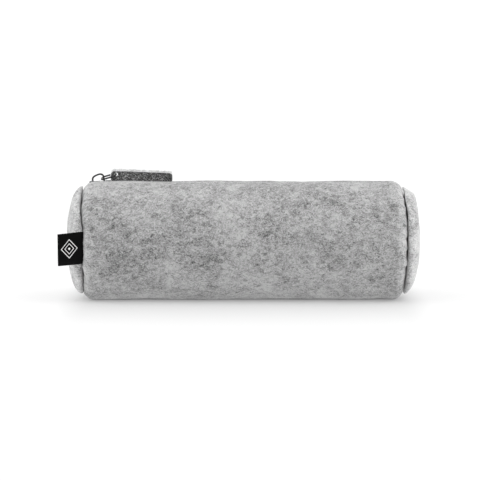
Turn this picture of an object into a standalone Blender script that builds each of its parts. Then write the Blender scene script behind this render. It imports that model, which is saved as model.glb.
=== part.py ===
"""Soft felt barrel pouch with a zip along the top. Metres, X along the barrel, the zip faces +Z.

The body felt is one sheet. It is held here as a base and two lips, so that the mouth can open.
"""

from math import asin, cos, degrees, radians, sin, sqrt

import bmesh
import bpy
from mathutils import Matrix, Vector

# Clearance between neighbouring pieces
GAP = 0.0003

# Felt barrel
FELT = 0.0032
BODY_R = 0.0356
FLAT_HALF_DEG = 15
AXIS_Z = BODY_R * cos(radians(FLAT_HALF_DEG))
SEAM_X = 0.095
ROLL_R = 0.0065
ALLOWANCE_R = 0.027
STEP_DEG = 7.5
ARC_STEPS = 4

# End panels
RIM_R = 0.0302
SHOULDER_R = 0.0049
DOME = 0.0034
DOME_STEPS = 4

# Mouth and lips
MOUTH_HALF = 0.0055
LIP_HALF_X = 0.077
HINGE_DEG = 45
HINGE_GAP_DEG = 0.25

# Zip tapes and coils
TAPE_R = BODY_R - FELT - GAP
TAPE = 0.0006
TAPE_INNER_Y = 0.0015
TAPE_OUTER_Y = 0.013
TAPE_SHORT_X = 0.0888
TAPE_LONG_X = 0.0937
COIL_Z = AXIS_Z + TAPE_R + GAP
COIL_H = 0.0013
COIL_OUTER_Y = 0.0026
COIL_ROOT_Y = 0.0009
COIL_TIP_Y = 0.0006
TOOTH_PITCH = 0.0028
TOOTH = 0.001
COIL_LEFT_X = -0.0866
COIL_RIGHT_X = 0.0886
STOP_L = 0.0021
STOP_OUTER_Y = 0.0036

# Slider
SLIDER_X = -0.08575
SLIDER_L = 0.0095
SLIDER_FRONT_HALF = 0.0045
SLIDER_REAR_HALF = 0.0038
PLATE = 0.001
CHANNEL_HALF = 0.003
CHANNEL_LOW_Z = AXIS_Z + sqrt((TAPE_R - TAPE) ** 2 - SLIDER_FRONT_HALF**2) - GAP
FLANGE_LOW_Z = AXIS_Z + sqrt(TAPE_R**2 - CHANNEL_HALF**2) + GAP
CHANNEL_TOP_Z = COIL_Z + COIL_H + GAP
SLIDER_TOP_Z = CHANNEL_TOP_Z + PLATE
POST_HALF_Y = 0.0011
POST_L = 0.0028
POST_FROM_FRONT = 0.0005
BAIL_HALF_Y = 0.0008
BAIL_T = 0.001
BAIL_LEFT_X = -0.0889
BAIL_RIGHT_X = -0.0816
BAIL_CROWN_X = -0.0838
BAIL_TOP_Z = 0.0739

# Puller ring and tab
RING_PIVOT = Vector((-0.0834, 0, 0.0707))
RING_PITCH = radians(16.5)
RING_ROLL = radians(9)
RING_L = 0.0089
RING_W = 0.0068
RING_CORNER = 0.0024
WIRE_R = 0.0005
TAB_PLY = 0.0015
TAB_PLY_GAP = 0.0002
TAB_LEAN = radians(8)
TAB_BACK_L = 0.0034
TAB_FRONT_L = 0.0331
TAB_LOW = 0.0045
TAB_TOP = 0.0035
TAB_SLOPE = 0.0012
TAB_CORNER = 0.0025
TAB_HOLE_R = 0.0017
TAB_FACE_TOP = TAB_TOP - 0.0015
TAB_FACE_BACK_L = TAB_BACK_L - 0.0005

# Folded label in the left end seam
LABEL_T = 0.0006
LABEL_R = 0.0308
LABEL_L = 0.0152
LABEL_TOP_DEG = 104
LABEL_BOTTOM_DEG = 70.5
LABEL_DROP_DEG = 2.8
LABEL_TUCK_R = 0.0285
LABEL_STEPS = 5
LABEL_POCKET = 0.0012
LABEL_SPARE_DEG = 1


def clear_scene():
    for obj in list(bpy.data.objects):
        bpy.data.objects.remove(obj)


def make_material(name, colour, roughness, metallic=0.0):
    mat = bpy.data.materials.new(name)
    mat.use_nodes = True
    shader = mat.node_tree.nodes["Principled BSDF"]
    shader.inputs["Base Color"].default_value = (*colour, 1)
    shader.inputs["Roughness"].default_value = roughness
    shader.inputs["Metallic"].default_value = metallic
    mat.diffuse_color = (*colour, 1)
    return mat


def add_object(name, bm, mat, smooth=False):
    bmesh.ops.recalc_face_normals(bm, faces=bm.faces)
    mesh = bpy.data.meshes.new(name)
    bm.to_mesh(mesh)
    bm.free()
    for face in mesh.polygons:
        face.use_smooth = smooth
    obj = bpy.data.objects.new(name, mesh)
    bpy.context.scene.collection.objects.link(obj)
    if mat:
        mesh.materials.append(mat)
    return obj


def as_cutter(obj):
    obj.hide_render = True
    obj.display_type = "WIRE"
    return obj


def cut(obj, cutter):
    boolean = obj.modifiers.new("cut " + cutter.name, "BOOLEAN")
    boolean.operation = "DIFFERENCE"
    boolean.solver = "EXACT"
    boolean.object = cutter


def round_edges(obj, width, segments=2):
    bevel = obj.modifiers.new("rounding", "BEVEL")
    bevel.width = width
    bevel.segments = segments
    bevel.limit_method = "ANGLE"


def prism(name, outline, low, high, along, mat=None):
    """A closed outline extruded along X or Y. It holds (y, z) pairs for X and (x, z) pairs for Y."""
    place = {"X": lambda a, b, c: (c, a, b), "Y": lambda a, b, c: (a, c, b)}[along]
    bm = bmesh.new()
    face = bm.faces.new([bm.verts.new(place(a, b, low)) for a, b in outline])
    new = bmesh.ops.extrude_face_region(bm, geom=[face])["geom"]
    moved = [v for v in new if isinstance(v, bmesh.types.BMVert)]
    bmesh.ops.translate(bm, verts=moved, vec=Vector(place(0, 0, high - low)))
    return add_object(name, bm, mat)


def box(name, low, high, mat=None):
    outline = [(low[1], low[2]), (high[1], low[2]), (high[1], high[2]), (low[1], high[2])]
    return prism(name, outline, low[0], high[0], "X", mat)


def barrel_point(x, radius, deg, floor=0.0):
    """A point of the barrel, its angle counted from straight down towards +Y."""
    angle = radians(deg)
    return (x, radius * sin(angle), max(floor, AXIS_Z - radius * cos(angle)))


def arc(x, r, radius, start_deg, end_deg, steps=ARC_STEPS):
    """(x, r) points of a profile's arc about (x, r)."""
    turns = [radians(start_deg + (end_deg - start_deg) * k / steps) for k in range(steps + 1)]
    return [(x + radius * cos(t), r + radius * sin(t)) for t in turns]


def bridged(bm, rings, close):
    """Quads between each ring of vertices and the next."""
    last = len(rings) if close else len(rings) - 1
    for k in range(last):
        here, there = rings[k], rings[(k + 1) % len(rings)]
        for i in range(len(here)):
            j = (i + 1) % len(here)
            corners = dict.fromkeys((here[i], here[j], there[j], there[i]))
            if len(corners) > 2:
                bm.faces.new(corners)


def spun(name, profile, mat):
    """A closed profile of (x, r, floor) turned right round the barrel's axis."""
    bm = bmesh.new()
    poles = {p: bm.verts.new((p[0], 0, AXIS_Z)) for p in profile if p[1] == 0}
    rings = []
    for k in range(round(360 / STEP_DEG)):
        rings.append([
            poles.get(p) or bm.verts.new(barrel_point(p[0], p[1], k * STEP_DEG, p[2])) for p in profile
        ])
    bridged(bm, rings, close=True)
    return add_object(name, bm, mat, smooth=True)


def make_body_base(felt):
    """Both end bands, with their edges rolled into the end seams, and the strip under the barrel."""
    roll_x, roll_r = SEAM_X - ROLL_R, BODY_R - ROLL_R
    outer = [(x, r, 0.0) for x, r in arc(roll_x, roll_r, ROLL_R, 90, 0)]
    flange = [(SEAM_X, ALLOWANCE_R, FELT), (SEAM_X - FELT, ALLOWANCE_R, FELT)]
    inner = [(x, r, FELT) for x, r in arc(roll_x, roll_r, ROLL_R - FELT, 0, 90)]
    half = outer + flange + inner
    profile = half + [(-x, r, floor) for x, r, floor in reversed(half)]
    base = spun("body_panel_base", profile, felt)
    reach = 2 * BODY_R
    slot = box("mouth_slot", (-reach * 2, -MOUTH_HALF, AXIS_Z), (reach * 2, MOUTH_HALF, AXIS_Z + reach))
    side = radians(HINGE_DEG - HINGE_GAP_DEG)
    low = (reach * sin(side), AXIS_Z - reach * cos(side))
    outline = [(0, AXIS_Z), low, (reach, AXIS_Z + reach), (-reach, AXIS_Z + reach), (-low[0], low[1])]
    half_window = LIP_HALF_X + GAP
    window = prism("lip_window", outline, -half_window, half_window, "X")
    cut(base, as_cutter(slot))
    cut(base, as_cutter(window))


def make_lip(name, side, felt):
    """One side of the body felt, from the hinge line up to the mouth. side is -1 for the front."""
    edge = HINGE_DEG + HINGE_GAP_DEG
    first = int(HINGE_DEG / STEP_DEG) + 1
    steps = [k * STEP_DEG for k in range(first, round(180 / STEP_DEG)) if k * STEP_DEG < 170]
    outline = []
    for radius, order in ((BODY_R, 1), (BODY_R - FELT, -1)):
        top = 180 - degrees(asin(MOUTH_HALF / radius))
        points = [barrel_point(0, radius, d)[1:] for d in [edge, *steps, top]]
        outline += [(side * y, z) for y, z in points][::order]
    prism(name, outline, -LIP_HALF_X, LIP_HALF_X, "X", felt)


def end_profile():
    """An end panel on the +X side: domed face, rolled shoulder and turned-in allowance."""
    rim_x = SEAM_X + GAP
    top_r = RIM_R - SHOULDER_R
    face_x = rim_x + SHOULDER_R
    radii = [top_r * k / DOME_STEPS for k in range(DOME_STEPS)]
    dome = [(face_x + DOME * (1 - (r / top_r) ** 2), r) for r in radii]
    shoulder = arc(rim_x, top_r, SHOULDER_R, 0, 90)
    inside = [(x - FELT, r) for x, r in reversed(dome)]
    fold = (face_x - FELT * 0.8, ALLOWANCE_R)
    return dome + shoulder + [(rim_x, ALLOWANCE_R), fold] + inside


def make_end_panels(felt):
    profile = end_profile()
    spun("end_panel_right", [(x, r, 0.0) for x, r in profile], felt)
    left = spun("end_panel_left", [(-x, r, 0.0) for x, r in profile], felt)
    floor_x, wall_x = -SEAM_X - LABEL_POCKET, -SEAM_X
    low_r, high_r = LABEL_TUCK_R - GAP, LABEL_R + LABEL_T + GAP
    outline = [(wall_x, low_r), (floor_x, low_r), (floor_x, high_r), (wall_x, high_r)]
    cut(left, as_cutter(part_turn("label_pocket", outline, LABEL_SPARE_DEG, 0, None)))


def part_turn(name, outline, spare_deg, drop_deg, mat):
    """An (x, r) outline turned along the label's arc. Its far end drops by drop_deg."""
    far_x = min(x for x, _ in outline)
    near_x = -SEAM_X - GAP - LABEL_T
    start, end = LABEL_BOTTOM_DEG - spare_deg, LABEL_TOP_DEG + spare_deg
    bm = bmesh.new()
    rings = []
    for k in range(LABEL_STEPS + 1):
        deg = start + (end - start) * k / LABEL_STEPS
        ring = []
        for x, r in outline:
            drop = drop_deg * max(0, near_x - x) / (near_x - far_x)
            ring.append(bm.verts.new(barrel_point(x, r, drop - deg)))
        rings.append(ring)
    bridged(bm, rings, close=False)
    bm.faces.new(rings[0])
    bm.faces.new(rings[-1])
    return add_object(name, bm, mat)


def make_label(satin):
    """An L in section: a tuck inside the end seam, and the tab that shows."""
    seam_x, top_r = -SEAM_X - GAP, LABEL_R + LABEL_T
    tuck_x, tip_x = seam_x - LABEL_T, seam_x - LABEL_L
    tuck = [(seam_x, LABEL_TUCK_R), (tuck_x, LABEL_TUCK_R), (tuck_x, LABEL_R)]
    outline = tuck + [(tip_x, LABEL_R), (tip_x, top_r), (seam_x, top_r)]
    part_turn("side_label", outline, 0, LABEL_DROP_DEG, satin)


def tape_sheet(name, cells, side, mat):
    """A thin sheet just inside the felt. cells holds (x start, x end, y start, y end)."""
    bm = bmesh.new()
    for x0, x1, y0, y1 in cells:
        corners = [(x0, y0), (x1, y0), (x1, y1), (x0, y1)]
        bm.faces.new([
            bm.verts.new((x, side * y, AXIS_Z + sqrt(TAPE_R**2 - y**2))) for x, y in corners
        ])
    bmesh.ops.remove_doubles(bm, verts=bm.verts, dist=1e-6)
    bmesh.ops.recalc_face_normals(bm, faces=bm.faces)
    new = bmesh.ops.extrude_face_region(bm, geom=bm.faces[:])["geom"]
    inward = (TAPE_R - TAPE) / TAPE_R
    for vert in new:
        if isinstance(vert, bmesh.types.BMVert):
            vert.co.y *= inward
            vert.co.z = AXIS_Z + (vert.co.z - AXIS_Z) * inward
    return add_object(name, bm, mat)


def make_tapes(woven):
    """Each tape in three lengths: the middle moves with its lip, the ends stay with the base."""
    strips = 5
    bend_y = MOUTH_HALF - GAP
    ys = [TAPE_INNER_Y, bend_y]
    ys += [bend_y + (TAPE_OUTER_Y - bend_y) * k / (strips - 1) for k in range(1, strips)]
    pairs = list(zip(ys, ys[1:]))
    for place, side in (("front", -1), ("back", 1)):
        middle = [(-LIP_HALF_X, LIP_HALF_X, y0, y1) for y0, y1 in pairs]
        tape_sheet(f"zip_tape_{place}", middle, side, woven)
        for end, way in (("left", -1), ("right", 1)):
            start = way * (LIP_HALF_X + GAP)
            cells = [(start, way * TAPE_SHORT_X, y0, y1) for y0, y1 in pairs]
            cells.append((way * TAPE_SHORT_X, way * TAPE_LONG_X, *pairs[0]))
            tape_sheet(f"zip_tape_{place}_{end}", cells, side, woven)


def coil_row(name, x0, x1, side, nylon):
    """One row of the coil as a comb. The two rows' teeth sit half a pitch apart and interlock."""
    shift = TOOTH_PITCH / 2 if side > 0 else 0
    root, tip = -COIL_ROOT_Y, COIL_TIP_Y
    inner = [(x0, root)]
    k = int(COIL_LEFT_X / TOOTH_PITCH) - 1
    while k * TOOTH_PITCH + shift < x1:
        low, high = k * TOOTH_PITCH + shift, k * TOOTH_PITCH + shift + TOOTH
        if low > x0 + GAP and high < x1 - GAP:
            inner += [(low, root), (low, tip), (high, tip), (high, root)]
        k += 1
    inner.append((x1, root))
    outline = inner + [(x1, -COIL_OUTER_Y), (x0, -COIL_OUTER_Y)]
    bm = bmesh.new()
    face = bm.faces.new([bm.verts.new((x, -side * y, COIL_Z)) for x, y in outline])
    new = bmesh.ops.extrude_face_region(bm, geom=[face])["geom"]
    moved = [v for v in new if isinstance(v, bmesh.types.BMVert)]
    bmesh.ops.translate(bm, verts=moved, vec=(0, 0, COIL_H))
    return add_object(name, bm, nylon)


def make_coils(nylon):
    for place, side in (("front", -1), ("back", 1)):
        coil_row(f"zip_coil_{place}", -LIP_HALF_X, LIP_HALF_X, side, nylon)
        coil_row(f"zip_coil_{place}_left", COIL_LEFT_X, -LIP_HALF_X - GAP, side, nylon)
        coil_row(f"zip_coil_{place}_right", LIP_HALF_X + GAP, COIL_RIGHT_X, side, nylon)


def make_stops(metal):
    """Two small stops at the closed end, and one across both rows at the other end."""
    top = COIL_Z + COIL_H
    x = SLIDER_X - SLIDER_L / 2 - GAP
    for place, side in (("front", -1), ("back", 1)):
        ys = sorted((side * TAPE_INNER_Y, side * STOP_OUTER_Y))
        stop = box(f"zip_top_stop_{place}", (x - STOP_L, ys[0], COIL_Z), (x, ys[1], top), metal)
        round_edges(stop, GAP)
    x = COIL_RIGHT_X + GAP
    low, high = (x, -STOP_OUTER_Y, COIL_Z), (x + STOP_L, STOP_OUTER_Y, top)
    round_edges(box("zip_bottom_stop", low, high, metal), GAP)


def make_slider_body(metal):
    """Two plates joined by a post at the front, which is the closing end, with side flanges."""
    front, rear = SLIDER_X - SLIDER_L / 2, SLIDER_X + SLIDER_L / 2
    low_z = CHANNEL_LOW_Z - PLATE
    bm = bmesh.new()
    plan = [
        (front, -SLIDER_FRONT_HALF),
        (rear, -SLIDER_REAR_HALF),
        (rear, SLIDER_REAR_HALF),
        (front, SLIDER_FRONT_HALF),
    ]
    face = bm.faces.new([bm.verts.new((x, y, low_z)) for x, y in plan])
    new = bmesh.ops.extrude_face_region(bm, geom=[face])["geom"]
    moved = [v for v in new if isinstance(v, bmesh.types.BMVert)]
    bmesh.ops.translate(bm, verts=moved, vec=(0, 0, SLIDER_TOP_Z - low_z))
    upright = [e for e in bm.edges if abs(e.verts[0].co.z - e.verts[1].co.z) > PLATE]
    bmesh.ops.bevel(bm, geom=upright, offset=2 * PLATE, segments=3, affect="EDGES", profile=0.5)
    rims = [e for e in bm.edges if abs(e.verts[0].co.z - e.verts[1].co.z) < PLATE / 10]
    bmesh.ops.bevel(bm, geom=rims, offset=0.35 * PLATE, segments=2, affect="EDGES", profile=0.5)
    body = add_object("slider_body", bm, metal)
    wide = 2 * SLIDER_FRONT_HALF
    outline = [
        (-wide, CHANNEL_LOW_Z),
        (wide, CHANNEL_LOW_Z),
        (wide, FLANGE_LOW_Z),
        (CHANNEL_HALF, FLANGE_LOW_Z),
        (CHANNEL_HALF, CHANNEL_TOP_Z),
        (-CHANNEL_HALF, CHANNEL_TOP_Z),
        (-CHANNEL_HALF, FLANGE_LOW_Z),
        (-wide, FLANGE_LOW_Z),
    ]
    channel = as_cutter(prism("slider_channel", outline, front - wide, rear + wide, "X"))
    x = front + POST_FROM_FRONT
    low = (x, -POST_HALF_Y, low_z)
    cut(channel, as_cutter(box("slider_post", low, (x + POST_L, POST_HALF_Y, SLIDER_TOP_Z))))
    cut(body, channel)


def make_bail(metal):
    """The bridge on the slider that the ring hangs in: a strip bent in the XZ plane."""
    foot, t = SLIDER_TOP_Z + GAP, BAIL_T
    left, right, top = BAIL_LEFT_X, BAIL_RIGHT_X, BAIL_TOP_Z
    shoulder = (left + 2.1 * t, top - 0.6 * t)
    outer = [
        (left, foot),
        (left + 0.1 * t, foot + 1.6 * t),
        (left + 0.7 * t, top - 1.5 * t),
        shoulder,
        (BAIL_CROWN_X, top),
        (right - 0.6 * t, top - 0.6 * t),
        (right, top - 1.8 * t),
        (right, foot),
    ]
    inner = [
        (right - t, foot),
        (right - t, top - 2 * t),
        (BAIL_CROWN_X, top - t),
        (shoulder[0] + 0.3 * t, shoulder[1] - t),
        (left + 1.6 * t, top - 2.6 * t),
        (left + t, foot),
    ]
    bail = prism("slider_bail", outer + inner, -BAIL_HALF_Y, BAIL_HALF_Y, "Y", metal)
    round_edges(bail, 0.25 * t)


def ring_frame():
    """X along the ring towards the tab, Y along its cross wires, from the pivot in the bail."""
    turn = Matrix.Rotation(RING_ROLL, 4, "X") @ Matrix.Rotation(-RING_PITCH, 4, "Y")
    return Matrix.Translation(RING_PIVOT) @ turn


def make_ring(metal):
    """A closed wire loop. Its cross wire at the origin is the flip axis."""
    half, inset = RING_W / 2 - RING_CORNER, RING_CORNER
    centres = (
        (inset, -half, 180),
        (RING_L - inset, -half, 270),
        (RING_L - inset, half, 0),
        (inset, half, 90),
    )
    points = [p for x, y, start in centres for p in arc(x, y, RING_CORNER, start, start + 90)]
    curve = bpy.data.curves.new("puller_ring", "CURVE")
    curve.dimensions = "3D"
    curve.bevel_depth = WIRE_R
    curve.bevel_resolution = 1
    spline = curve.splines.new("POLY")
    spline.points.add(len(points) - 1)
    for point, (x, y) in zip(spline.points, points):
        point.co = (x, y, 0, 1)
    spline.use_cyclic_u = True
    curve.materials.append(metal)
    ring = bpy.data.objects.new("puller_ring", curve)
    ring.matrix_world = ring_frame()
    bpy.context.scene.collection.objects.link(ring)


def tab_outline(back_l, top):
    """(x, z) round a ply from its hole: rounded at the ring's end, with a top edge that slopes."""
    left, right, r = -back_l, TAB_FRONT_L, TAB_CORNER
    top_right = top - TAB_SLOPE
    low = arc(left + r, r - TAB_LOW, r, 180, 270) + [(right - r, -TAB_LOW)]
    far = arc(right - r, r - TAB_LOW, r, -60, 0, 2) + arc(right - r, top_right - r, r, 0, 60, 2)
    return low + far + [(right - r, top_right)] + arc(left + r, top - r, r, 90, 180)


def make_tab_ply(name, outline, near, hole, mat):
    """One felt ply, standing on its edge and leaning back, hung on the ring's far wire."""
    ply = prism(name, outline, near, near + TAB_PLY, "Y", mat)
    pivot = ring_frame() @ Vector((RING_L, 0, 0))
    ply.matrix_world = Matrix.Translation(pivot) @ Matrix.Rotation(-TAB_LEAN, 4, "X")
    cut(ply, hole)


def make_tab(charcoal, grey):
    """Two plies. The backing shows a narrow rim above the face and at the ring's end."""
    pivot = ring_frame() @ Vector((RING_L, 0, 0))
    reach = 3 * TAB_PLY
    circle = [(x, z) for x, z in arc(0, 0, TAB_HOLE_R, 0, 360, 16)][:-1]
    hole = as_cutter(prism("tab_hole", circle, -reach, reach, "Y"))
    hole.matrix_world = Matrix.Translation(pivot) @ Matrix.Rotation(-TAB_LEAN, 4, "X")
    middle = TAB_PLY_GAP / 2
    face, backing = tab_outline(TAB_FACE_BACK_L, TAB_FACE_TOP), tab_outline(TAB_BACK_L, TAB_TOP)
    make_tab_ply("pull_tab_face", face, -middle - TAB_PLY, hole, charcoal)
    make_tab_ply("pull_tab_backing", backing, middle, hole, grey)


def main():
    clear_scene()
    felt = make_material("light grey felt", (0.36, 0.36, 0.36), 0.95)
    end_felt = make_material("light grey end felt", (0.48, 0.48, 0.48), 0.95)
    charcoal = make_material("charcoal tab felt", (0.09, 0.09, 0.09), 0.95)
    tab_grey = make_material("light grey tab felt", (0.5, 0.5, 0.5), 0.95)
    woven = make_material("grey zip tape", (0.22, 0.22, 0.23), 0.85)
    nylon = make_material("grey nylon coil", (0.2, 0.2, 0.21), 0.5)
    metal = make_material("dark metal", (0.17, 0.17, 0.17), 0.3, 1.0)
    satin = make_material("black satin", (0.006, 0.006, 0.006), 0.5)
    make_body_base(felt)
    make_lip("body_panel_front", -1, felt)
    make_lip("body_panel_back", 1, felt)
    make_end_panels(end_felt)
    make_label(satin)
    make_tapes(woven)
    make_coils(nylon)
    make_stops(metal)
    make_slider_body(metal)
    make_bail(metal)
    make_ring(metal)
    make_tab(charcoal, tab_grey)


main()
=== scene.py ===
"""The looks of the soft felt barrel pouch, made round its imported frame. Metres, as in the frame."""

from math import asin, cos, pi, radians, sin

import bmesh
import bpy
import numpy as np
from mathutils import Matrix, Vector, noise


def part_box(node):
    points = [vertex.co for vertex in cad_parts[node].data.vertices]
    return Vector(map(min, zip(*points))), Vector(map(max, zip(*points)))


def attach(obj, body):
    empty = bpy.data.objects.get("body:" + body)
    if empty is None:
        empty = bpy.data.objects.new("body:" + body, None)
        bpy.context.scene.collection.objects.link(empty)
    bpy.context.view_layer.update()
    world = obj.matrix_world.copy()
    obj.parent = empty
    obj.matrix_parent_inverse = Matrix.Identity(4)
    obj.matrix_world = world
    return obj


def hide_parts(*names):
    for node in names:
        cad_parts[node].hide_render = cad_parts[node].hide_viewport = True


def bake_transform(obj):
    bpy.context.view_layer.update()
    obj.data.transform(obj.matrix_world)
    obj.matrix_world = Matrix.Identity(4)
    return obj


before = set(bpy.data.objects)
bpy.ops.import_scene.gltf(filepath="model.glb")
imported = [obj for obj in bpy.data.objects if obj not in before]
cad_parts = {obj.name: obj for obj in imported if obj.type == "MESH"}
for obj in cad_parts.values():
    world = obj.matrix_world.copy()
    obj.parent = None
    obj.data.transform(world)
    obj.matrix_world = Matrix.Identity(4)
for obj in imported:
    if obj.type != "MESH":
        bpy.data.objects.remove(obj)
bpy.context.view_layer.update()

MM = 1000  # millimetres in a metre, for the cloth coordinates

# Sizes from the frame
BASE_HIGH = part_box("body_panel_base")[1]
LIP_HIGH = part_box("body_panel_front")[1]
COIL_LOW, COIL_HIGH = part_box("zip_coil_front")
SEAM_X = BASE_HIGH[0]
BODY_R = BASE_HIGH[1]
MOUTH_HALF = -LIP_HIGH[1]

# Barrel
FELT = 0.0032
FLAT_HALF = radians(15)  # half the angle of the flat that the barrel rests on
AXIS_Z = BODY_R * cos(FLAT_HALF)
ROLL_R = 0.0065  # of the rolled corners at both ends
ALLOWANCE_R = 0.027  # the turned-in edges reach down to this radius
EDGE_ROUND = 0.0007  # of the mouth's cut edge
PHI_STEP = radians(1.4)
X_STEP = 0.0019
FLOOR_SOFTNESS = 0.00015
LUMPS = ((0.00042, 0.024, 1), (0.00022, 0.009, 2), (0.00007, 0.0042, 3))  # (height, size, seed)

# Zip
TAPE_R = BODY_R - FELT - 0.0003
TAPE_T = 0.0005
TAPE_INNER_Y = 0.0014
TAPE_OUTER_Y = 0.013
TAPE_NARROW_Y = 0.0052  # in the end seams
TAPE_END = 0.0938
TAPE_NARROWS, TAPE_NARROWING = 0.0868, 0.0018
TAPE_TURN = 0.0885  # its grid is finer from here to its end
ZIP_FLAT = 0.088  # the zip lies level this far out and turns down beyond it
ZIP_CORNER, ZIP_CORNER_REACH, ZIP_CORNER_DROP = 0.084, 0.011, 0.0022
COIL_PITCH = 0.0013
COIL_WIRE = 0.00027
COIL_END_GAP = 0.0004
STITCH_IN = 0.0024  # from the mouth's edge
STITCH_PITCH = 0.0032
STITCH_SHARE = 0.76  # of the pitch
STITCH_ROW_HALF = 0.086
STITCH_WIRE = 0.00021

# Camera, as the pouch is seen from the front
CAMERA_DISTANCE = 1.33
CAMERA_ELEVATION = radians(5.5)
CAMERA_TARGET = Vector((-0.00206, 0, 0.0344))
LENS = 169.2

# Studio
FLOOR_Y = 1.2
FLOOR_SIZE = 8
FLOOR_DEPTH = 0.00005
FLOOR_ALBEDO = 0.32
FLOOR_GLOW_AND_PAINTED_SHADOW = (0.31, 0.49)  # the glow beside the pouch, dimmed there as a painted shadow, and away from it
# How far out from the pouch the painted shadow fades into the full glow
PAINTED_SHADOW_REACH = 0.16
PAINTED_SHADOW_HALF = 0.088  # the painted shadow on the floor is this long each way, and ends quickly beyond
PAINTED_SHADOW_END_RATE = 7.0
STRIP_SIZE = (0.18, 0.0254, 1)
STRIP_DEPTH = 0.0006


# ---------------------------------------------------------------- small helpers

def smooth(t):
    """0 up to 0, 1 from 1 on, and smooth between."""
    t = np.clip(t, 0, 1)
    return t * t * (3 - 2 * t)


def bump(t):
    """1 at 0, and next to nothing past 2 either way."""
    return np.exp(-np.square(t))


def noise_at(points, size, seed):
    """Smooth noise in -1..1 at an array of points, with lumps of about that size in metres."""
    shape = points.shape[:-1]
    flat = points.reshape(-1, 3) / size + seed * 17.3
    return np.array([noise.noise(Vector(p)) for p in flat]).reshape(shape)


def smooth_path(points, count):
    """A Catmull-Rom curve through the points, sampled evenly along its length."""
    pts = np.array(points, float)
    padded = np.vstack([2 * pts[0] - pts[1], pts, 2 * pts[-1] - pts[-2]])
    dense = []
    for k in range(len(pts) - 1):
        a, b, c, d = padded[k:k + 4]
        for t in np.linspace(0, 1, 24, endpoint=False):
            dense.append(0.5 * (2 * b + (c - a) * t + (2 * a - 5 * b + 4 * c - d) * t**2
                                + (3 * b - a - 3 * c + d) * t**3))
    dense = np.array(dense + [pts[-1]])
    length = np.append(0, np.cumsum(np.linalg.norm(np.diff(dense, axis=0), axis=1)))
    at = np.linspace(0, length[-1], count)
    return np.stack([np.interp(at, length, dense[:, i]) for i in range(dense.shape[1])], -1)


def path_length(points):
    return np.append(0, np.cumsum(np.linalg.norm(np.diff(points, axis=0), axis=1)))


def path_normals(points):
    """Unit normals, a quarter turn to the left of a path in the plane."""
    along = np.gradient(points, axis=0)
    along /= np.linalg.norm(along, axis=1)[:, None]
    return np.stack([-along[:, 1], along[:, 0]], -1)


def store_cloth(mesh, coords):
    """Where each point lies in its flat cloth, in millimetres, so that a weave stays on the cloth."""
    attribute = mesh.attributes.new("cloth", "FLOAT_VECTOR", "POINT")
    attribute.data.foreach_set("vector", np.asarray(coords, np.float32).ravel())


def add_mesh(name, verts, faces, coords, mat, sharp=()):
    """A smooth-shaded object with its cloth coordinates. sharp lists edges that stay sharp."""
    mesh = bpy.data.meshes.new(name)
    mesh.from_pydata([tuple(v) for v in verts], [], faces)
    store_cloth(mesh, coords)
    for face in mesh.polygons:
        face.use_smooth = True
    if sharp:
        keys = {tuple(sorted(edge)) for edge in sharp}
        for edge in mesh.edges:
            if tuple(sorted(edge.vertices)) in keys:
                edge.use_edge_sharp = True
    mesh.materials.append(mat)
    obj = bpy.data.objects.new(name, mesh)
    bpy.context.scene.collection.objects.link(obj)
    return obj


def sheet_mesh(name, outer, inner, coords_out, coords_in, mat, sharp_first=False):
    """A closed sheet between two grids of points, both (rows, columns, 3)."""
    rows, cols = outer.shape[:2]
    rings = np.concatenate([outer, inner[:, ::-1]], axis=1)
    coords = np.concatenate([coords_out, coords_in[:, ::-1]], axis=1)
    n = 2 * cols
    faces = []
    for k in range(rows - 1):
        for i in range(n):
            j = (i + 1) % n
            faces.append((k * n + i, (k + 1) * n + i, (k + 1) * n + j, k * n + j))
    last = (rows - 1) * n
    for i in range(cols - 1):
        faces.append((i, i + 1, n - 2 - i, n - 1 - i))
        faces.append((last + n - 1 - i, last + n - 2 - i, last + i + 1, last + i))
    sharp = [(i, (i + 1) % n) for i in range(n)] if sharp_first else []
    obj = add_mesh(name, rings.reshape(-1, 3), faces, coords.reshape(-1, 3), mat, sharp)
    outward(obj)
    return obj


def outward(obj):
    """Turns a closed mesh's faces outwards."""
    bm = bmesh.new()
    bm.from_mesh(obj.data)
    bmesh.ops.recalc_face_normals(bm, faces=bm.faces)
    bm.to_mesh(obj.data)
    bm.free()


def wire_mesh(name, splines, radius, mat, cyclic=False, sides=2):
    """Round wires along lists of (x, y, z) or (x, y, z, share of the radius), as one mesh."""
    curve = bpy.data.curves.new(name, "CURVE")
    curve.dimensions = "3D"
    curve.bevel_depth = radius
    curve.bevel_resolution = sides
    curve.use_fill_caps = not cyclic
    for points in splines:
        spline = curve.splines.new("POLY")
        spline.points.add(len(points) - 1)
        for point, at in zip(spline.points, points):
            point.co = (at[0], at[1], at[2], 1)
            point.radius = at[3] if len(at) > 3 else 1
        spline.use_cyclic_u = cyclic
    return evaluated(name, curve, mat)


def evaluated(name, data, mat, modifiers=()):
    """The mesh that a curve or mesh gives with its modifiers applied, as a new object."""
    source = bpy.data.objects.new(name + ".source", data)
    bpy.context.scene.collection.objects.link(source)
    for kind, settings in modifiers:
        modifier = source.modifiers.new(kind, kind)
        for key, value in settings.items():
            setattr(modifier, key, value)
    bpy.context.view_layer.update()
    graph = bpy.context.evaluated_depsgraph_get()
    mesh = bpy.data.meshes.new_from_object(source.evaluated_get(graph))
    bpy.data.objects.remove(source)
    mesh.name = name
    mesh.materials.clear()
    mesh.materials.append(mat)
    for face in mesh.polygons:
        face.use_smooth = True
    obj = bpy.data.objects.new(name, mesh)
    bpy.context.scene.collection.objects.link(obj)
    return obj


def points_of(obj):
    co = np.empty(len(obj.data.vertices) * 3)
    obj.data.vertices.foreach_get("co", co)
    return co.reshape(-1, 3)


def set_points(obj, points):
    obj.data.vertices.foreach_set("co", np.asarray(points, np.float32).ravel())
    obj.data.update()


# ---------------------------------------------------------------- materials

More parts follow.
